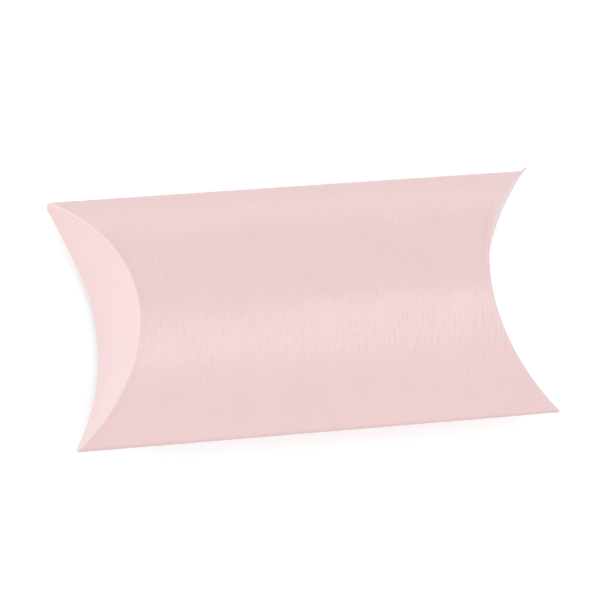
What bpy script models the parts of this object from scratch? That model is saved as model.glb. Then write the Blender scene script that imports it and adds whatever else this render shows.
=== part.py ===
"""A pillow box for favors: one board folded over, glued down one side and shut by curved end flaps.

+X runs from end to end, +Y across the two crowned panels and +Z up through them. The box lies on
its back panel, with the origin in the middle of the narrow flat strip that it rests on.

Each panel is part of a round cylinder whose axis is along X. Each end crease lies in a slanted
plane, so a flap folded on it is the mirror image of the panel's own cylinder in that plane: it is
hollow and straight along its rulings, and laid open again it carries the panel's curve on. Board
bends along the rulings as the flap swings, so a flap is cut into strips along them.
"""
from math import asin, cos, sin

import bmesh
import bpy
from mathutils import Vector

# The box
LENGTH = 0.120
WIDTH = 0.062
RISE = 0.013
END_HOLLOW = 0.0166
BOARD = 0.0004
PANEL_FACETS = 25

# Clearances between pieces that touch on the real box
GAP = 0.0003
CREASE_RELIEF = 0.0008
WING_RELIEF = 0.0022
TIP_RELIEF = 0.0014
CREASE_START = 0.0003

# End flaps
OUTER_EDGE_SET_UP = 0.0004
INNER_SET_IN = 0.0009
INNER_CUT_DROP = 0.0006
OUTER_SHORTEST_RULING = 0.0045
INNER_SHORTEST_RULING = 0.0016
STRIPS_EACH_SIDE = 3
STRIP_FACETS = 3
STRIP_NAMES = ("shoulder", "wing", "tip")

# The glued seam
GLUE_FLAP_WIDTH = 0.011
GLUE_FLAP_END_INSET = 0.004
GLUE_FILM = 0.00015
GLUE_MARGIN = 0.0012

# Colours, linear RGB, with roughness
PANEL_FINISH = ((0.86, 0.64, 0.63), 0.42)
FLAP_FINISH = ((0.90, 0.70, 0.70), 0.42)
INSIDE_FINISH = ((0.86, 0.76, 0.73), 0.60)
GLUE_FINISH = ((0.80, 0.77, 0.70), 0.35)

# Shape of the panels' cylinder, and the angle from its crown to the side creases
RADIUS = (WIDTH ** 2 / 4 + RISE ** 2) / (2 * RISE)
SIDE_ANGLE = asin(WIDTH / 2 / RADIUS)

# The end crease comes in by this much for each unit that the panel rises, and a shut flap leans out
CREASE_SLOPE = END_HOLLOW / RISE
LEAN = asin((CREASE_SLOPE ** 2 - 1) / (CREASE_SLOPE ** 2 + 1))

# Both panels stop short of the side crease, so that half a gap is left under each one's edge
PANEL_ANGLE = SIDE_ANGLE - (GAP / 2 + BOARD / 2 * cos(SIDE_ANGLE)) / sin(SIDE_ANGLE) / RADIUS

# The middle facet of each panel is flat, and the back one's lies at z = 0
FACET_ANGLE = 2 * PANEL_ANGLE / PANEL_FACETS
MIDDLE_HEIGHT = (RADIUS + BOARD / 2) * cos(FACET_ANGLE / 2) - (RADIUS - RISE)


def depth_at(angle):
    """How far a panel has come down from its crown, at an angle round its cylinder."""
    return RADIUS * (1 - cos(angle))


def crease_x(angle, set_in):
    """Distance of the end crease from the middle of the box."""
    return LENGTH / 2 - CREASE_SLOPE * (RISE - depth_at(angle)) - set_in


def spread(first, last, steps):
    return [first + (last - first) * step / steps for step in range(steps + 1)]


def finish(name, values):
    colour, roughness = values
    material = bpy.data.materials.new(name)
    material.use_nodes = True
    shader = material.node_tree.nodes["Principled BSDF"]
    shader.inputs["Base Color"].default_value = (*colour, 1)
    shader.inputs["Roughness"].default_value = roughness
    shader.inputs["Metallic"].default_value = 0
    material.diffuse_color = (*colour, 1)
    return material


def sheet(name, columns, place, thickness, values, origin=Vector(), parent=None):
    """A thin closed solid: each column is an angle with the places where the sheet starts and ends.

    place(angle, along, offset) gives a point in world space.
    """
    shape = bmesh.new()
    rings = []
    for angle, start, end in columns:
        corners = (
            (start, -thickness / 2),
            (end, -thickness / 2),
            (end, thickness / 2),
            (start, thickness / 2),
        )
        rings.append([shape.verts.new(place(angle, *corner) - origin) for corner in corners])
    for ring, following in zip(rings, rings[1:]):
        for corner, vertex in enumerate(ring):
            after = (corner + 1) % len(ring)
            shape.faces.new((vertex, ring[after], following[after], following[corner]))
    shape.faces.new(rings[0])
    shape.faces.new(rings[-1])
    bmesh.ops.recalc_face_normals(shape, faces=shape.faces)
    mesh = bpy.data.meshes.new(name)
    shape.to_mesh(mesh)
    shape.free()
    mesh.materials.append(finish(name, values))
    piece = bpy.data.objects.new(name, mesh)
    bpy.context.collection.objects.link(piece)
    piece.parent = parent
    piece.location = origin - parent.matrix_world.translation if parent else origin
    bpy.context.view_layer.update()
    return piece


def panel_place(side, layer=0):
    """Points of a panel: side is 1 for the front and -1 for the back, layer a shift outwards."""

    def place(angle, along, offset):
        radius = RADIUS + layer + offset
        height = radius * cos(angle) - (RADIUS - RISE)
        return Vector((along, radius * sin(angle), MIDDLE_HEIGHT + side * height))

    return place


def make_panel(name, side, set_in):
    columns = []
    for angle in spread(-PANEL_ANGLE, PANEL_ANGLE, PANEL_FACETS):
        depth_share = depth_at(angle) / RISE
        relief = CREASE_RELIEF + (WING_RELIEF - CREASE_RELIEF) * depth_share
        if abs(angle) > PANEL_ANGLE - FACET_ANGLE / 2:
            relief = TIP_RELIEF
        end = crease_x(angle, set_in) - relief
        columns.append((angle, -end, end))
    return sheet(name, columns, panel_place(side), BOARD, PANEL_FINISH)


def make_seam():
    """The glue flap folds in from the back panel and lies under the front one, on a film of glue."""
    first = SIDE_ANGLE - (BOARD / 2 + GAP) / RADIUS
    last = SIDE_ANGLE - GLUE_FLAP_WIDTH / RADIUS
    film_layer = -(BOARD / 2 + GAP + GLUE_FILM / 2)
    flap_layer = film_layer - (GLUE_FILM / 2 + GAP + BOARD / 2)
    film = []
    for angle in spread(last + GLUE_MARGIN / RADIUS, first - GLUE_MARGIN / RADIUS, STRIP_FACETS):
        end = crease_x(angle, GLUE_FLAP_END_INSET + GLUE_MARGIN)
        film.append((angle, -end, end))
    flap = []
    for angle in spread(last, first, STRIP_FACETS):
        end = crease_x(angle, GLUE_FLAP_END_INSET)
        flap.append((angle, -end, end))
    sheet("glue_line", film, panel_place(1, film_layer), GLUE_FILM, GLUE_FINISH)
    sheet("glue_flap", flap, panel_place(1, flap_layer), BOARD, INSIDE_FINISH)


class Flap:
    """One end flap: end is 1 at +X, side is 1 for a flap of the front panel."""

    def __init__(self, end, side, set_in, reach_at):
        self.crown = Vector((end * crease_x(0, set_in), 0, MIDDLE_HEIGHT + side * RISE))
        self.ruling = Vector((end * sin(LEAN), 0, -side * cos(LEAN)))
        self.outward = Vector((end * cos(LEAN), 0, side * sin(LEAN)))
        self.reach_at = reach_at

    def place(self, angle, along, offset):
        """A point on the shut flap, whose hollow side faces out."""
        radius = RADIUS - offset
        depth = RADIUS - radius * cos(angle)
        across = Vector((0, radius * sin(angle), 0))
        return self.crown + self.ruling * along + self.outward * depth + across

    def crease(self, angle):
        """The point of the crease at an angle, on the board's middle surface."""
        return self.place(angle, CREASE_SLOPE * depth_at(angle), 0)

    def strip(self, name, first, last, parent, hinge):
        columns = []
        for angle in spread(first, last, STRIP_FACETS):
            start = CREASE_SLOPE * depth_at(angle) + CREASE_START
            columns.append((angle, start, self.reach_at(angle)))
        return sheet(name, columns, self.place, BOARD, FLAP_FINISH, hinge, parent)


def outer_reach(angle):
    """An outer flap reaches along its rulings nearly to the back panel's crease."""
    drop = 2 * (RISE - depth_at(angle)) - OUTER_EDGE_SET_UP
    return CREASE_SLOPE * depth_at(angle) + drop / cos(LEAN)


def inner_reach(angle):
    """An inner flap is cut off straight, a little short of half the box's height."""
    return (RISE - INNER_CUT_DROP) / cos(LEAN)


def end_angle(reach_at, shortest_ruling):
    """The angle where a flap's rulings have shrunk to the shortest one, found by halving."""
    low, high = 0, SIDE_ANGLE
    while high - low > SIDE_ANGLE / 2 ** 30:
        middle = (low + high) / 2
        ruling = reach_at(middle) - CREASE_SLOPE * depth_at(middle) - CREASE_START
        if ruling > shortest_ruling:
            low = middle
        else:
            high = middle
    return low


def make_flap(name, end, side, set_in, reach_at, shortest_ruling):
    """A flap is a middle strip hinged on the panel, and strips hinged on it one after another."""
    flap = Flap(end, side, set_in, reach_at)
    strips = 2 * STRIPS_EACH_SIDE + 1
    strip_angle = 2 * end_angle(reach_at, shortest_ruling) / strips
    half_gap = GAP / 2 / RADIUS
    edge = strip_angle / 2
    chord = (flap.crease(edge) + flap.crease(-edge)) / 2
    hinge = (chord + flap.crown) / 2
    middle = flap.strip(f"{name}_middle", half_gap - edge, edge - half_gap, None, hinge)
    for side_name, sign in (("near", -1), ("far", 1)):
        parent = middle
        for number, strip_name in enumerate(STRIP_NAMES):
            inner = edge + number * strip_angle
            first = sign * (inner + half_gap)
            last = sign * (inner + strip_angle - half_gap)
            full_name = f"{name}_{side_name}_{strip_name}"
            parent = flap.strip(full_name, first, last, parent, flap.crease(sign * inner))


for leftover in list(bpy.data.objects):
    bpy.data.objects.remove(leftover)

make_panel("front_panel", 1, 0)
make_panel("back_panel", -1, INNER_SET_IN)
make_seam()
for end_name, end_sign in (("left", -1), ("right", 1)):
    outer, inner = f"{end_name}_outer_flap", f"{end_name}_inner_flap"
    make_flap(outer, end_sign, 1, 0, outer_reach, OUTER_SHORTEST_RULING)
    make_flap(inner, end_sign, -1, INNER_SET_IN, inner_reach, INNER_SHORTEST_RULING)
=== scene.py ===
"""Looks of the pillow box: its board sleeve, the four end flaps, their pearly finish and the studio.

The sleeve is one folded board. Each flap is drawn as six leaves of board that meet on its strips'
middle lines.
"""
from math import acos, asin, ceil, cos, pi, radians, sin, sqrt, tau
from typing import NamedTuple

import bmesh
import bpy
from mathutils import Matrix, Vector


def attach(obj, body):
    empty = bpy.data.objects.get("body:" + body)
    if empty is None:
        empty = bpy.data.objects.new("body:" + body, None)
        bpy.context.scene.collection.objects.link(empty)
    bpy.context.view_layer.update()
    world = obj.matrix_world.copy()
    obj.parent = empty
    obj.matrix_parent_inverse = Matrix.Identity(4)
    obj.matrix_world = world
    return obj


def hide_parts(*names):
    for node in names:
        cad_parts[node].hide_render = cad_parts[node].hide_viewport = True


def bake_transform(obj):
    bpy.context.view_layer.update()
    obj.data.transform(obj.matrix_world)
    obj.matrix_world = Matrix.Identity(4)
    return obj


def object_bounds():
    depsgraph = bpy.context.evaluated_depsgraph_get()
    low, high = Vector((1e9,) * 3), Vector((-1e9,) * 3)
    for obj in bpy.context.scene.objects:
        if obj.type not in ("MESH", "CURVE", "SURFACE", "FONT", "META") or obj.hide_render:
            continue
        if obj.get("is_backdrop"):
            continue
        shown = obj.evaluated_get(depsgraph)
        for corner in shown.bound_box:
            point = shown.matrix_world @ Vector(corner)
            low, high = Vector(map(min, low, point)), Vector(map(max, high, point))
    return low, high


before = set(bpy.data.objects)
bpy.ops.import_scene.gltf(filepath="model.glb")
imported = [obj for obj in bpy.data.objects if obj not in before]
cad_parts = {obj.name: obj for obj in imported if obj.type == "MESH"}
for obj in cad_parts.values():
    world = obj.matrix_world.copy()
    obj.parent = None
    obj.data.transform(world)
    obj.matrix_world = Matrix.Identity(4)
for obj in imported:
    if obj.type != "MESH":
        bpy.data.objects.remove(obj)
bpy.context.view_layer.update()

# Driving dimensions of the box, as in the part's source
LENGTH = 0.120
WIDTH = 0.062
RISE = 0.013
END_HOLLOW = 0.0166
BOARD = 0.0004
PANEL_FACETS = 25
GAP = 0.0003
CREASE_START = 0.0003
OUTER_EDGE_SET_UP = 0.0004
INNER_SET_IN = 0.0009
INNER_CUT_DROP = 0.0006
OUTER_SHORTEST_RULING = 0.0045
INNER_SHORTEST_RULING = 0.0016
STRIP_NAMES = ("shoulder", "wing", "tip")
GLUE_FLAP_WIDTH = 0.011
GLUE_FLAP_END_INSET = 0.004
GLUE_MARGIN = 0.0012

# Shape that follows from them, also as in the part's source
RADIUS = (WIDTH ** 2 / 4 + RISE ** 2) / (2 * RISE)
SIDE_ANGLE = asin(WIDTH / 2 / RADIUS)
CREASE_SLOPE = END_HOLLOW / RISE
LEAN = asin((CREASE_SLOPE ** 2 - 1) / (CREASE_SLOPE ** 2 + 1))
PANEL_ANGLE = SIDE_ANGLE - (GAP / 2 + BOARD / 2 * cos(SIDE_ANGLE)) / sin(SIDE_ANGLE) / RADIUS
FACET_ANGLE = 2 * PANEL_ANGLE / PANEL_FACETS
MIDDLE_HEIGHT = (RADIUS + BOARD / 2) * cos(FACET_ANGLE / 2) - (RADIUS - RISE)

# What the board shows that its solids leave out: rolled folds, soft creases and rounded cuts
FOLD_RADIUS = 0.00035
CREASE_RADIUS = 0.00026
CREASE_FADE = 0.0009
CUT_ROUNDING = 0.00006

# The dried film fills the room between two boards, and reaches a little into both
GLUE_FILM = 0.0001
GLUE_OVERLAP = 0.00001

# A flap ends where its rulings have shrunk to this length
FLAP_END_RULING = 0.0005

# An outer flap's free edge is raised in its middle and longer towards its two rounded corners
FREE_EDGE_RAISE = 0.001
CORNER_LENGTH = 0.0023
CORNER_START = radians(5)
CORNER_END = radians(37)
CORNER_ROUNDING = 0.0016

# The one corner with an ear: how far its board turns on past the side crease, its width and rounding
EARED_CORNER = ("right", "outer", "far")
EAR_TURN = radians(1.9)
EAR_WIDTH = 0.0012
EAR_ROUNDING = 0.0009

# Each leaf runs on by this much past its strips' middle lines, so that no light shows between leaves
LEAF_LAP = 0.00003

# Fineness of the meshes
PANEL_STEP = radians(1)
FOLD_STEP = radians(9)
FLAP_STEP = radians(0.75)
STEP_SLACK = 1e-6
ROUND_STEPS = 6
SLEEVE_SPANS = 16
FLAP_SPANS = 6
SHARP_ANGLE = radians(40)
HALVINGS = 30

# Material slots of every board mesh, in this order
BOARD_SLOTS = 3
COATED, RAW, CUT = range(BOARD_SLOTS)

# What every board mesh tells its materials: a place on the flat board, and its wear and painted light
# there
PLACE_LAYER = "board_place"
WEAR_AND_PAINTED_LIGHT_LAYER = "wear_and_painted_light"

ORIGIN = Vector((0, 0, MIDDLE_HEIGHT))
X = Vector((1, 0, 0))
Y = Vector((0, 1, 0))
Z = Vector((0, 0, 1))


def depth_at(angle):
    """How far a panel has come down from its crown, at an angle round its cylinder."""
    return RADIUS * (1 - cos(angle))


def root_at(angle):
    """How far along a flap's rulings, from its crown, the crease lies."""
    return CREASE_SLOPE * depth_at(angle)


def crease_x(point, inset):
    """How far from the middle of the box an end crease lies at a point's height, less an inset."""
    return LENGTH / 2 - CREASE_SLOPE * abs(point.z - MIDDLE_HEIGHT) - inset


def half_board(thinned):
    """Half the board's thickness, less the rounding where it ends at a cut."""
    return BOARD / 2 - (CUT_ROUNDING if thinned else 0)


def spread(first, last, longest_step):
    """Values from first to last, evenly spaced and no further apart than longest_step.

    The slack keeps an error in the last digit from adding a step.
    """
    steps = max(1, ceil(abs(last - first) / longest_step - STEP_SLACK))
    return [first + (last - first) * step / steps for step in range(steps + 1)]


def smooth(share):
    """A share that eases in and out, held between 0 and 1."""
    share = min(1, max(0, share))
    return share * share * (3 - 2 * share)


def add_object(name, data):
    made = bpy.data.objects.new(name, data)
    bpy.context.scene.collection.objects.link(made)
    return made


# Board meshes

class Station(NamedTuple):
    """One ruling of a board: a straight line between its two edges, with what lies at them.

    outs are the directions that leave the board at the start and at the finish. place holds the
    texture coordinates at the start, at the finish, and across the rulings. In a side fold the
    station is folded, and painted shade darkens the board all along it.
    """

    start: Vector
    finish: Vector
    normal: Vector
    outs: tuple
    place: tuple
    half: float
    folded: bool = False


# An edge is a list of columns: (distance in from the edge, change of half thickness, wear and painted
# light).
# Wear and painted light run from -1, where painted shade darkens the board, to 1, where it is
# lightened: rubbed wear at cut edges, and a painted highlight at creases.
# Wear values at a crease: a painted highlight on it, and painted shade beside it
CREASE_PAINTED_HIGHLIGHT = 0.4
BESIDE_CREASE_PAINTED_SHADE = -0.2

# Columns beside a crease, as shares of CREASE_FADE, and the further ones of a panel, over which its
# painted shade fades
FADE_SHARES = (0, 0.25, 0.5, 0.75, 1)
PAINTED_SHADE_SHARES = (1.3, 1.7, 2.1, 2.6)

# The columns of both edges together take up no more than this share of a short ruling
EDGES_LARGEST_SHARE = 0.8


def crease_column(share):
    """A panel's edge at a crease: thicker at the crease with a painted highlight there, and painted
    shade beside it.
    """
    thicker = (CREASE_RADIUS - BOARD / 2) * (1 - smooth(share))
    if share <= 1:
        wear_and_painted_light = CREASE_PAINTED_HIGHLIGHT + (BESIDE_CREASE_PAINTED_SHADE - CREASE_PAINTED_HIGHLIGHT) * smooth(share)
    else:
        wear_and_painted_light = BESIDE_CREASE_PAINTED_SHADE * (1 - smooth((share - 1) / (PAINTED_SHADE_SHARES[-1] - 1)))
    return CREASE_FADE * share, thicker, wear_and_painted_light


CREASE_EDGE = [crease_column(share) for share in FADE_SHARES + PAINTED_SHADE_SHARES]
# A flap's root carries the crease's painted highlight, which fades away from the crease
ROOT_EDGE = [(CREASE_FADE * share, 0, CREASE_PAINTED_HIGHLIGHT * (1 - smooth(share))) for share in FADE_SHARES]
CUT_EDGE = [(0, -CUT_ROUNDING, 1), (CUT_ROUNDING, 0, 1), (CREASE_FADE / 2, 0, 0)]
GLUE_EDGE = [(0, 0, 0), (GLUE_MARGIN, 0, 0)]


def columns_of(station, edges, spans):
    """Columns from start to finish: (share of the ruling, half thickness, wear and painted light)."""
    length = (station.finish - station.start).length
    start_edge, finish_edge = edges
    fit = min(1, length * EDGES_LARGEST_SHARE / (start_edge[-1][0] + finish_edge[-1][0]))
    first = [(at * fit / length, station.half + change, wear_and_painted_light) for at, change, wear_and_painted_light in start_edge]
    last = [(1 - at * fit / length, station.half + change, wear_and_painted_light) for at, change, wear_and_painted_light in finish_edge]
    low, high = first[-1][0], last[-1][0]
    between = [(low + (high - low) * span / spans, station.half, 0) for span in range(1, spans)]
    return first + between + last[::-1]


def outline_of(station, edges, rounded, spans):
    """The closed section at a station, as (point, texture place, wear and painted light, material of
    the next side).
    """
    columns = columns_of(station, edges, spans)
    ruling = station.finish - station.start
    first_place, last_place, across_place = station.place

    def point_at(share, lift, wear_and_painted_light, slot):
        point = station.start + ruling * share + station.normal * lift
        place = (first_place + (last_place - first_place) * share, across_place, 0)
        # Side folds are painted fully dark: painted shade in the fold
        return point, place, -1 if station.folded else wear_and_painted_light, slot

    def turn(column, out, first_side):
        """Points round an edge, from one side to the other, coated to about the outermost one."""
        share, half, wear_and_painted_light = column
        points = []
        for step in range(1, ROUND_STEPS):
            angle = pi * step / ROUND_STEPS
            slot = COATED if first_side * (ROUND_STEPS - 2 * step) >= 0 else RAW
            point, *rest = point_at(share, half * cos(angle) * first_side, wear_and_painted_light, slot)
            points.append((point + out * half * sin(angle), *rest))
        return points

    loop = []
    for edge, way, side, slot in ((1, columns, 1, COATED), (0, columns[::-1], -1, RAW)):
        loop += [point_at(share, half * side, wear_and_painted_light, slot) for share, half, wear_and_painted_light in way]
        if rounded[edge]:
            loop += turn(way[-1], station.outs[edge], side)
        else:
            loop[-1] = (*loop[-1][:-1], CUT)
    return loop


def board_mesh(name, stations, edges, rounded, spans, materials):
    """A closed board through its stations, with both end sections capped.

    edges are the columns at the rulings' start and finish. The board is turned round an edge that
    is rounded, and cut off flat at one that isn't.
    """
    shape = bmesh.new()
    place_layer = shape.verts.layers.float_vector.new(PLACE_LAYER)
    wear_and_painted_light_layer = shape.verts.layers.float.new(WEAR_AND_PAINTED_LIGHT_LAYER)
    rings = []
    for station in stations:
        ring = []
        for point, place, wear_and_painted_light, slot in outline_of(station, edges, rounded, spans):
            vertex = shape.verts.new(point)
            vertex[place_layer] = place
            vertex[wear_and_painted_light_layer] = wear_and_painted_light
            ring.append((vertex, slot))
        rings.append(ring)
    for ring, following in zip(rings, rings[1:]):
        for number, (vertex, slot) in enumerate(ring):
            after = (number + 1) % len(ring)
            corners = (vertex, ring[after][0], following[after][0], following[number][0])
            shape.faces.new(corners).material_index = slot
    for ring in (rings[0], rings[-1]):
        shape.faces.new([vertex for vertex, _ in ring]).material_index = CUT
    bmesh.ops.recalc_face_normals(shape, faces=shape.faces)
    for face in shape.faces:
        face.smooth = True
    mesh = bpy.data.meshes.new(name)
    shape.to_mesh(mesh)
    shape.free()
    mesh.set_sharp_from_angle(angle=SHARP_ANGLE)
    for material in materials:
        mesh.materials.append(material)
    return add_object(name, mesh)


def outs_along(points, normals, end):
    """At each point of an edge, the direction in the surface that leaves the board across it."""
    outs = []
    for number, normal in enumerate(normals):
        before, after = points[max(0, number - 1)], points[min(len(points) - 1, number + 1)]
        out = (after - before).cross(normal).normalized()
        outs.append(out if out.x * end > 0 else -out)
    return outs


# The sleeve: glue flap, far side fold, back panel, near side fold and front panel, in one board

DROP = RADIUS - RISE
GLUE_FLAP_RADIUS = RADIUS - BOARD - GLUE_FILM
FRONT_CENTRE = ORIGIN - Z * DROP
BACK_CENTRE = ORIGIN + Z * DROP

# A side fold is a small cylinder that touches two of the large ones from inside
FOLD_LOW = ((GLUE_FLAP_RADIUS - FOLD_RADIUS) ** 2 - (RADIUS - FOLD_RADIUS) ** 2) / (4 * DROP)
FAR_FOLD_Y = sqrt((GLUE_FLAP_RADIUS - FOLD_RADIUS) ** 2 - (FOLD_LOW + DROP) ** 2)
FAR_FOLD_CENTRE = ORIGIN + Y * FAR_FOLD_Y + Z * FOLD_LOW
NEAR_FOLD_CENTRE = ORIGIN - Y * sqrt((RADIUS - FOLD_RADIUS) ** 2 - DROP ** 2)

GLUE_FLAP_EDGE = SIDE_ANGLE - GLUE_FLAP_WIDTH / RADIUS
FAR_FOLD_FIRST = asin(FAR_FOLD_Y / (GLUE_FLAP_RADIUS - FOLD_RADIUS))
FAR_FOLD_LAST = pi - asin(FAR_FOLD_Y / (RADIUS - FOLD_RADIUS))
NEAR_FOLD_TURN = acos(DROP / (RADIUS - FOLD_RADIUS))
FRONT_EDGE = asin((FAR_FOLD_Y + FOLD_RADIUS + BOARD / 2) / (RADIUS + BOARD / 2))

# Each part of the way round: centre, radius, first and last direction of the coated side, step
SLEEVE_PATH = (
    (FRONT_CENTRE, GLUE_FLAP_RADIUS, GLUE_FLAP_EDGE, FAR_FOLD_FIRST, PANEL_STEP),
    (FAR_FOLD_CENTRE, FOLD_RADIUS, FAR_FOLD_FIRST, FAR_FOLD_LAST, FOLD_STEP),
    (BACK_CENTRE, RADIUS, FAR_FOLD_LAST, pi + NEAR_FOLD_TURN, PANEL_STEP),
    (NEAR_FOLD_CENTRE, FOLD_RADIUS, pi + NEAR_FOLD_TURN, tau - NEAR_FOLD_TURN, FOLD_STEP),
    (FRONT_CENTRE, RADIUS, tau - NEAR_FOLD_TURN, tau + FRONT_EDGE, PANEL_STEP),
)

# Texture places count from the front panel's crown, and this is the back panel's
BACK_CROWN_PLACE = -2 * RADIUS * NEAR_FOLD_TURN - FOLD_RADIUS * (pi - 2 * NEAR_FOLD_TURN)


def facing(direction):
    """The way out of the board at a direction round the box: up at 0, to the far side at pi / 2."""
    return Y * sin(direction) + Z * cos(direction)


def sleeve_sample(centre, radius, direction):
    """A point of the board's middle surface, its direction, and whether it lies in a side fold."""
    return centre + facing(direction) * radius, direction, radius == FOLD_RADIUS


def sleeve_samples():
    """Samples all the way round, with one more beside each cut edge, where its rounding ends."""
    samples = []
    for centre, radius, first, last, step in SLEEVE_PATH:
        for direction in spread(first, last, step)[1 if samples else 0:]:
            samples.append(sleeve_sample(centre, radius, direction))
    rounding = CUT_ROUNDING / RADIUS
    samples.insert(1, sleeve_sample(FRONT_CENTRE, GLUE_FLAP_RADIUS, GLUE_FLAP_EDGE + rounding))
    samples.insert(-1, sleeve_sample(FRONT_CENTRE, RADIUS, tau + FRONT_EDGE - rounding))
    return samples


def sleeve_set_in(direction, end):
    """The back panel's ends are set in, and the step to the front ones lies in the side folds.

    The right end's far fold is set in as a whole, to lie behind the flap's ear.
    """
    turned = (direction - FAR_FOLD_FIRST) / (FAR_FOLD_LAST - FAR_FOLD_FIRST)
    far = 1 if end > 0 else smooth(turned)
    near = smooth((direction - pi - NEAR_FOLD_TURN) / (pi - 2 * NEAR_FOLD_TURN))
    return INNER_SET_IN * (far - near)


def make_sleeve(materials):
    """One board all the way round, whose rulings run from the left end's creases to the right's."""
    samples = sleeve_samples()
    normals = [facing(direction) for _, direction, _ in samples]
    around = [0]
    for (point, _, _), (following, _, _) in zip(samples, samples[1:]):
        around.append(around[-1] + (following - point).length)
    front_crown = around[-1] - RADIUS * FRONT_EDGE

    edges, outs = {}, {}
    for end in (-1, 1):
        edges[end] = []
        for point, direction, _ in samples:
            chamfer = max(0, (FAR_FOLD_FIRST - direction) * GLUE_FLAP_RADIUS)
            inset = sleeve_set_in(direction, end) + min(GLUE_FLAP_END_INSET, chamfer)
            edges[end].append(point + X * end * crease_x(point, inset))
        outs[end] = outs_along(edges[end], normals, end)

    stations = []
    for number, (_, _, folded) in enumerate(samples):
        start, finish = edges[-1][number], edges[1][number]
        stations.append(Station(
            start,
            finish,
            normals[number],
            (outs[-1][number], outs[1][number]),
            (start.x, finish.x, around[number] - front_crown),
            half_board(thinned=number in (0, len(samples) - 1)),
            folded,
        ))
    return board_mesh(
        "board_sleeve", stations, (CREASE_EDGE, CREASE_EDGE), (True, True), SLEEVE_SPANS, materials
    )


def make_glue(material):
    """The dried film between the glue flap and the front panel."""
    margin = GLUE_MARGIN / RADIUS
    middle = RADIUS - BOARD / 2 - GLUE_FILM / 2
    stations = []
    for direction in spread(GLUE_FLAP_EDGE + margin, SIDE_ANGLE - 2 * margin, PANEL_STEP):
        normal = facing(direction)
        centre = FRONT_CENTRE + normal * middle
        end = crease_x(centre, GLUE_FLAP_END_INSET + GLUE_MARGIN)
        stations.append(Station(
            centre - X * end,
            centre + X * end,
            normal,
            (-X, X),
            (-end, end, middle * direction),
            GLUE_FILM / 2 + GLUE_OVERLAP,
        ))
    materials = [material] * BOARD_SLOTS
    return board_mesh(
        "glue_film", stations, (GLUE_EDGE, GLUE_EDGE), (True, True), SLEEVE_SPANS, materials
    )


# End flaps

class Corner(NamedTuple):
    """Where a flap ends at one side: its last angle, its narrowest width there and its rounding."""

    last_angle: float
    narrowest: float
    rounding: float


class Flap:
    """One end flap: end is 1 at +X, side is 1 for a flap of the front panel."""

    def __init__(self, end, side):
        self.end = end
        self.side = side
        self.crown_x = LENGTH / 2 - END_HOLLOW - (0 if side > 0 else INNER_SET_IN)
        self.crown = ORIGIN + X * end * self.crown_x + Z * side * RISE
        self.ruling = X * end * sin(LEAN) - Z * side * cos(LEAN)
        self.outward = X * end * cos(LEAN) + Z * side * sin(LEAN)

    def reach_at(self, angle):
        """How far the board reaches along a ruling: to the far crease, or to a straight cut."""
        if self.side < 0:
            return (RISE - INNER_CUT_DROP) / cos(LEAN)
        drop = 2 * (RISE - depth_at(angle)) - OUTER_EDGE_SET_UP
        return root_at(angle) + drop / cos(LEAN)

    def free_edge_at(self, angle, corner):
        """How far the drawn board reaches: an outer flap is longer towards its rounded corners."""
        if self.side < 0:
            return self.reach_at(angle)
        longer = smooth((abs(angle) - CORNER_START) / (CORNER_END - CORNER_START))
        drawn = self.reach_at(angle) + CORNER_LENGTH * longer - FREE_EDGE_RAISE * (1 - longer)
        drawn = max(drawn, root_at(angle) + corner.narrowest)
        rounded = max(0, 1 - (corner.last_angle - abs(angle)) * RADIUS / corner.rounding)
        return drawn - corner.rounding * (1 - sqrt(1 - rounded ** 2))

    def place(self, angle, along):
        """A point of the board's middle surface on the shut flap, whose hollow side faces out."""
        across = Y * RADIUS * sin(angle)
        return self.crown + self.ruling * along + self.outward * depth_at(angle) + across

    def angle_with(self, shortest_ruling):
        """The angle where the rulings have shrunk to the shortest one, found by halving."""
        low, high = 0, SIDE_ANGLE
        for _ in range(HALVINGS):
            middle = (low + high) / 2
            if self.reach_at(middle) - root_at(middle) > shortest_ruling:
                low = middle
            else:
                high = middle
        return low

    def station(self, angle, corner):
        """The ruling at an angle, thinned where it is the corner's last one."""
        root = root_at(angle)
        reach = self.free_edge_at(angle, corner)
        if self.side > 0:
            around = RADIUS * angle
        else:
            around = BACK_CROWN_PLACE - RADIUS * angle
        return Station(
            self.place(angle, root),
            self.place(angle, reach),
            self.outward * cos(angle) - Y * sin(angle),
            (-self.ruling, self.ruling),
            (self.end * (self.crown_x + root), self.end * (self.crown_x + reach), around),
            half_board(thinned=abs(angle) == corner.last_angle),
        )


# A flap's leaves from its middle to either side, each one between two neighbouring strips
LEAF_NAMES = ("inner", "wide", "tip")

# Shares of a strip past a leaf's two strips' middle lines, where flap points are placed and left
# unused. The tip leaf's shares are longer, because its strip turns more.
LEAF_LEAD_SHARES = (sqrt(3) / 2, sqrt(3) / 2)
TIP_LEAD_SHARES = (0.875, 1.04)

# Where a flap's last rulings lie, as shares of its corner's rounding before its end
ROUNDING_SHARES = (0.75, 0.5, 0.3, 0.15, 0.05, 0)


def leaf_angles(leaf_name, first, last, corner):
    """Where a leaf's rulings lie: between two strips' middle lines, or on round the corner."""
    lap = LEAF_LAP / RADIUS
    if leaf_name != "tip":
        return spread(first - lap, last + lap, FLAP_STEP)
    rounding = corner.rounding / RADIUS
    angles = spread(first - lap, corner.last_angle - rounding, FLAP_STEP)
    return angles + [corner.last_angle - rounding * share for share in ROUNDING_SHARES]


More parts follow.
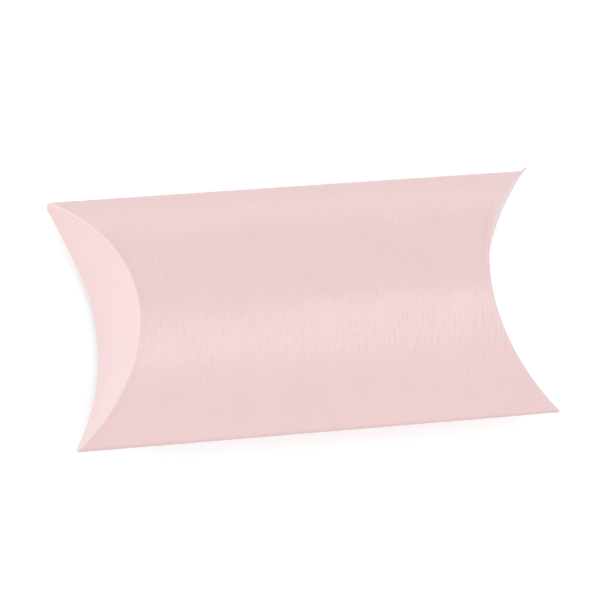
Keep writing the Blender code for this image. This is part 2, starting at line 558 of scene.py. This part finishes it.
def make_flap(end_name, end, layer, side, materials):
    """Six leaves, three on each side, that meet on the middle lines of the flap's strips."""
    flap = Flap(end, side)
    shortest = OUTER_SHORTEST_RULING if side > 0 else INNER_SHORTEST_RULING
    strips = 2 * len(STRIP_NAMES) + 1
    strip_angle = 2 * flap.angle_with(shortest + CREASE_START) / strips
    for side_name, sign in (("near", -1), ("far", 1)):
        if (end_name, layer, side_name) == EARED_CORNER:
            corner = Corner(SIDE_ANGLE + EAR_TURN, EAR_WIDTH, EAR_ROUNDING)
        else:
            corner = Corner(flap.angle_with(FLAP_END_RULING), CORNER_ROUNDING, CORNER_ROUNDING)
        strip_names = ["middle"] + [f"{side_name}_{name}" for name in STRIP_NAMES]
        for number, leaf_name in enumerate(LEAF_NAMES):
            first = number * strip_angle
            last = (number + 1) * strip_angle
            angles = leaf_angles(leaf_name, first, last, corner)
            leaf = board_mesh(
                f"{end_name}_{layer}_leaf_{side_name}_{leaf_name}",
                [flap.station(sign * angle, corner) for angle in angles],
                (ROOT_EDGE, CUT_EDGE),
                (True, False),
                FLAP_SPANS,
                materials,
            )
            bodies = [f"{end_name}_{layer}_flap_{name}" for name in strip_names[number:number + 2]]
            leads = TIP_LEAD_SHARES if leaf_name == "tip" else LEAF_LEAD_SHARES
            flap.place(sign * (first - leads[0] * strip_angle), 0)
            flap.place(sign * (last + leads[1] * strip_angle), 0)
            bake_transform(leaf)
            # Each leaf stands for its outer strip, and the near inner one for the middle strip too
            stood_for = bodies if number == 0 and sign < 0 else bodies[1:]
            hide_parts(*stood_for)


# Finishes

COATED_COLOUR = (0.87, 0.63, 0.627)
RAW_COLOUR = (0.94, 0.88, 0.86)
CUT_COLOUR = (0.84, 0.72, 0.71)
# Lighter: rubbed wear at cut edges and a painted highlight along creases. Darker: painted shade
# beside creases and in side folds.
WORN_AND_HIGHLIGHT_COLOUR = (0.92, 0.70, 0.69)
PAINTED_SHADE_COLOUR = (0.76, 0.55, 0.55)
GLUE_COLOUR = (0.80, 0.77, 0.70)

# The emboss is a pattern of short streaks across the box's length, over a finer grain
STREAK_WIDTH = 0.0009
STREAK_LENGTH = 0.0028
STREAK_DEPTH = 0.00011
GRAIN_SIZE = 0.00025
GRAIN_DEPTH = 0.000004
MOTTLE_SIZE = 0.012
GLUE_BLOTCH_SIZE = 0.002

# Octaves of each noise
STREAK_DETAIL = 1
GRAIN_DETAIL = 3
MOTTLE_DETAIL = 2
NOISE_ROUGHNESS = 0.5

# Most values of a noise lie between these, and it is stretched from there
NOISE_LOW = 0.3
NOISE_HIGH = 0.7

# A finish wanders with the noises between these shares of its own shade and roughness
MOTTLE_SHARES = (0.985, 1.01)
GLUE_SHARES = (0.94, 1)
ROUGHNESS_SHARES = (0.86, 1.14)

# How much of the worn-and-highlight colour and of the painted shade colour shows where wear and
# painted light is 1 and -1
WORN_AND_HIGHLIGHT_MIX_SHARE = 0.6
PAINTED_SHADE_MIX_SHARE = 0.8

BOARD_SPECULAR = 0.5
SHEEN_ROUGHNESS = 0.4
GLUE_SPECULAR = 0.6
GLUE_ROUGHNESS = (0.3, 0.45)

# The finishes in the order of the slots: name, colour, roughness, sheen, depth of the streaks
BOARD_FINISHES = (
    ("pearl_coat", COATED_COLOUR, 0.22, 0, STREAK_DEPTH),
    ("board_inside", RAW_COLOUR, 0.6, 0.05, STREAK_DEPTH / 2),
    ("board_edge", CUT_COLOUR, 0.7, 0, 0),
)


def node(tree, kind, values=None, **settings):
    """A new node, with the values of its inputs by name."""
    made = tree.nodes.new(kind)
    for name, value in settings.items():
        setattr(made, name, value)
    for name, value in (values or {}).items():
        made.inputs[name].default_value = value
    return made


def link(tree, output, target):
    tree.links.new(output, target)


def noise_at(tree, place, size, detail):
    """A noise value from 0 to 1, with one size along the rulings and one across them."""
    along, across = size
    scale = node(tree, "ShaderNodeMapping", {"Scale": (1 / along, 1 / across, 1)})
    noise = node(tree, "ShaderNodeTexNoise", {
        "Scale": 1, "Detail": detail, "Roughness": NOISE_ROUGHNESS,
    })
    link(tree, place, scale.inputs["Vector"])
    link(tree, scale.outputs["Vector"], noise.inputs["Vector"])
    return noise.outputs["Fac"]


def ranged(tree, value, low, high, first=NOISE_LOW, last=NOISE_HIGH):
    """A value from first to last, stretched to run from low to high."""
    made = node(tree, "ShaderNodeMapRange", {
        "From Min": first, "From Max": last, "To Min": low, "To Max": high,
    })
    link(tree, value, made.inputs["Value"])
    return made.outputs["Result"]


def mixed(tree, share, first, second):
    """A colour between two, each one a colour or a socket."""
    mix = node(tree, "ShaderNodeMix", data_type="RGBA")
    link(tree, share, mix.inputs["Factor"])
    for socket, colour in ((mix.inputs["A"], first), (mix.inputs["B"], second)):
        if isinstance(colour, tuple):
            socket.default_value = (*colour, 1)
        else:
            link(tree, colour, socket)
    return mix.outputs["Result"]


def mottled(tree, noise, colour, shares):
    """A colour that wanders with a noise between two shades of itself."""
    darker, lighter = (tuple(channel * share for channel in colour) for share in shares)
    return mixed(tree, ranged(tree, noise, 0, 1), darker, lighter)


def new_material(name, specular):
    """A material with its tree, its shader, and the place on the board that its noises follow."""
    material = bpy.data.materials.new(name)
    material.use_nodes = True
    tree = material.node_tree
    shader = tree.nodes["Principled BSDF"]
    shader.inputs["Specular IOR Level"].default_value = specular
    place = node(tree, "ShaderNodeAttribute", attribute_name=PLACE_LAYER).outputs["Vector"]
    return material, tree, shader, place


def board_material(name, colour, roughness, sheen, streak_depth):
    """Board with its emboss, grain and mottle, lighter where rubbed and where a highlight is painted
    along creases, and darker with painted shade beside creases and in side folds.
    """
    material, tree, shader, place = new_material(name, BOARD_SPECULAR)
    shader.inputs["Sheen Weight"].default_value = sheen
    shader.inputs["Sheen Roughness"].default_value = SHEEN_ROUGHNESS
    wear_and_painted_light = node(tree, "ShaderNodeAttribute", attribute_name=WEAR_AND_PAINTED_LIGHT_LAYER).outputs["Fac"]

    streaks = noise_at(tree, place, (STREAK_WIDTH, STREAK_LENGTH), STREAK_DETAIL)
    grain = noise_at(tree, place, (GRAIN_SIZE, GRAIN_SIZE), GRAIN_DETAIL)
    mottle = noise_at(tree, place, (MOTTLE_SIZE, MOTTLE_SIZE), MOTTLE_DETAIL)

    plain = mottled(tree, mottle, colour, MOTTLE_SHARES)
    worn_and_highlighted = mixed(tree, ranged(tree, wear_and_painted_light, 0, WORN_AND_HIGHLIGHT_MIX_SHARE, 0, 1), plain, WORN_AND_HIGHLIGHT_COLOUR)
    shade_painted = mixed(tree, ranged(tree, wear_and_painted_light, PAINTED_SHADE_MIX_SHARE, 0, -1, 0), worn_and_highlighted, PAINTED_SHADE_COLOUR)
    link(tree, shade_painted, shader.inputs["Base Color"])
    smoother, rougher = (roughness * share for share in ROUGHNESS_SHARES)
    link(tree, ranged(tree, streaks, smoother, rougher), shader.inputs["Roughness"])

    fine = node(tree, "ShaderNodeBump", {"Strength": 1, "Distance": GRAIN_DEPTH})
    coarse = node(tree, "ShaderNodeBump", {"Strength": 1, "Distance": streak_depth})
    link(tree, grain, fine.inputs["Height"])
    link(tree, streaks, coarse.inputs["Height"])
    link(tree, fine.outputs["Normal"], coarse.inputs["Normal"])
    link(tree, coarse.outputs["Normal"], shader.inputs["Normal"])
    return material


def glue_material():
    """Dried glue, blotched in shade and in roughness."""
    material, tree, shader, place = new_material("dried_glue", GLUE_SPECULAR)
    blotch = noise_at(tree, place, (GLUE_BLOTCH_SIZE, GLUE_BLOTCH_SIZE), MOTTLE_DETAIL)
    link(tree, mottled(tree, blotch, GLUE_COLOUR, GLUE_SHARES), shader.inputs["Base Color"])
    link(tree, ranged(tree, blotch, *GLUE_ROUGHNESS), shader.inputs["Roughness"])
    return material


board_finishes = [board_material(*finish) for finish in BOARD_FINISHES]

sleeve = make_sleeve(board_finishes)
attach(sleeve, "case")
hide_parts("front_panel", "back_panel", "glue_flap")

glue = make_glue(glue_material())
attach(glue, "case")
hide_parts("glue_line")

for end_name, end in (("left", -1), ("right", 1)):
    make_flap(end_name, end, "outer", 1, board_finishes)
    make_flap(end_name, end, "inner", -1, board_finishes)


# Studio

FLOOR_SIZE = 3.0
FLOOR_COLOUR = (0.80, 0.80, 0.80)
WORLD_STRENGTH = 0.735

# The floor gives this much light of its own to the camera, and a share of it to mirrored views
FLOOR_LIFT_COLOUR = (0.4, 0.4, 0.4)
FLOOR_LIFT_MIRRORED_SHARE = 0.6

WHITE_LIGHT = (1, 1, 1)
COOL_LIGHT = (0.86, 0.96, 1)

# Each lamp: name, place seen from the middle of the box, width and height, level, mirrored, colour
SOFTBOXES = (
    ("overhead_strip", (0.19, -0.085, 0.77), (0.5, 0.2), 0.105, True, WHITE_LIGHT),
    ("near_glow", (0.17, -0.36, 0.7), (0.6, 0.3), 0.042, True, WHITE_LIGHT),
    ("left_fill", (-0.85, 0.05, 0.2), (0.6, 0.4), 0.38, False, COOL_LIGHT),
    ("far_fill", (0.2, 0.92, 0.18), (1.4, 0.36), 0.14, True, WHITE_LIGHT),
    ("near_fill", (0.25, -0.87, 0.2), (1.0, 0.4), 0.134, False, WHITE_LIGHT),
)

# The camera stands where the photograph's did, found from the traced edges and creases
CAMERA_AZIMUTH = radians(-44.7)
CAMERA_ELEVATION = radians(70.0)
CAMERA_ROLL = radians(38.65)
CAMERA_DISTANCE = 0.933
CAMERA_LENS = 230.7
CAMERA_SENSOR = 36
CAMERA_SHIFT_RIGHT = -0.00126
CAMERA_SHIFT_UP = 0.00193
CAMERA_CLIP_SHARES = (0.01, 10)


def make_floor(height):
    mesh = bpy.data.meshes.new("floor")
    shape = bmesh.new()
    bmesh.ops.create_grid(shape, x_segments=1, y_segments=1, size=FLOOR_SIZE / 2)
    shape.to_mesh(mesh)
    shape.free()
    floor = add_object("floor", mesh)
    floor.location = Z * height
    material = bpy.data.materials.new("white_floor")
    material.use_nodes = True
    tree = material.node_tree
    tree.nodes.clear()
    output = node(tree, "ShaderNodeOutputMaterial")
    diffuse = node(tree, "ShaderNodeBsdfDiffuse", {"Color": (*FLOOR_COLOUR, 1)})
    lift = node(tree, "ShaderNodeEmission", {"Color": (*FLOOR_LIFT_COLOUR, 1)})
    path = node(tree, "ShaderNodeLightPath")
    seen = node(tree, "ShaderNodeMath", operation="MULTIPLY_ADD")
    both = node(tree, "ShaderNodeAddShader")
    link(tree, path.outputs["Is Glossy Ray"], seen.inputs[0])
    seen.inputs[1].default_value = FLOOR_LIFT_MIRRORED_SHARE
    link(tree, path.outputs["Is Camera Ray"], seen.inputs[2])
    link(tree, seen.outputs[0], lift.inputs["Strength"])
    link(tree, diffuse.outputs[0], both.inputs[0])
    link(tree, lift.outputs[0], both.inputs[1])
    link(tree, both.outputs[0], output.inputs["Surface"])
    mesh.materials.append(material)
    floor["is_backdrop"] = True


def make_world():
    """A white world, at its full strength only where the camera sees it."""
    world = bpy.data.worlds.new("studio")
    world.use_nodes = True
    tree = world.node_tree
    background = tree.nodes["Background"]
    background.inputs["Color"].default_value = (1, 1, 1, 1)
    strength = node(tree, "ShaderNodeMapRange", {"To Min": WORLD_STRENGTH, "To Max": 1})
    link(tree, node(tree, "ShaderNodeLightPath").outputs["Is Camera Ray"], strength.inputs["Value"])
    link(tree, strength.outputs["Result"], background.inputs["Strength"])
    bpy.context.scene.world = world


def make_softbox(name, place, size, level, mirrored, colour):
    """An area light at a place seen from the middle of the box, and aimed at it.

    At a level of 1 the lamp alone shows a surface that faces it in the surface's own colour. A lamp
    that isn't mirrored lights the box without a glare on it.
    """
    lamp = bpy.data.lights.new(name, "AREA")
    lamp.shape = "RECTANGLE"
    lamp.size, lamp.size_y = size
    lamp.color = colour
    lamp.energy = level * pi ** 2 * Vector(place).length_squared
    lamp_object = add_object(name, lamp)
    lamp_object.location = ORIGIN + Vector(place)
    lamp_object.rotation_mode = "QUATERNION"
    lamp_object.rotation_quaternion = Vector(place).to_track_quat("Z", "Y")
    lamp_object.visible_glossy = mirrored


def make_camera():
    back = Vector((
        sin(CAMERA_AZIMUTH) * cos(CAMERA_ELEVATION),
        -cos(CAMERA_AZIMUTH) * cos(CAMERA_ELEVATION),
        sin(CAMERA_ELEVATION),
    ))
    level = Vector((cos(CAMERA_AZIMUTH), sin(CAMERA_AZIMUTH), 0))
    right = level * cos(CAMERA_ROLL) + back.cross(level) * sin(CAMERA_ROLL)
    up = back.cross(right)
    camera = bpy.data.cameras.new("camera")
    camera.lens = CAMERA_LENS
    camera.sensor_width = CAMERA_SENSOR
    camera.clip_start, camera.clip_end = (CAMERA_DISTANCE * share for share in CAMERA_CLIP_SHARES)
    camera_object = add_object("camera", camera)
    camera_object.matrix_world = Matrix((right, up, back)).transposed().to_4x4()
    camera_object.location = (
        ORIGIN + back * CAMERA_DISTANCE + right * CAMERA_SHIFT_RIGHT + up * CAMERA_SHIFT_UP
    )
    bpy.context.scene.camera = camera_object


make_floor(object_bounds()[0].z)
make_world()
for softbox in SOFTBOXES:
    make_softbox(*softbox)
make_camera()
bpy.context.scene.view_settings.view_transform = "Standard"
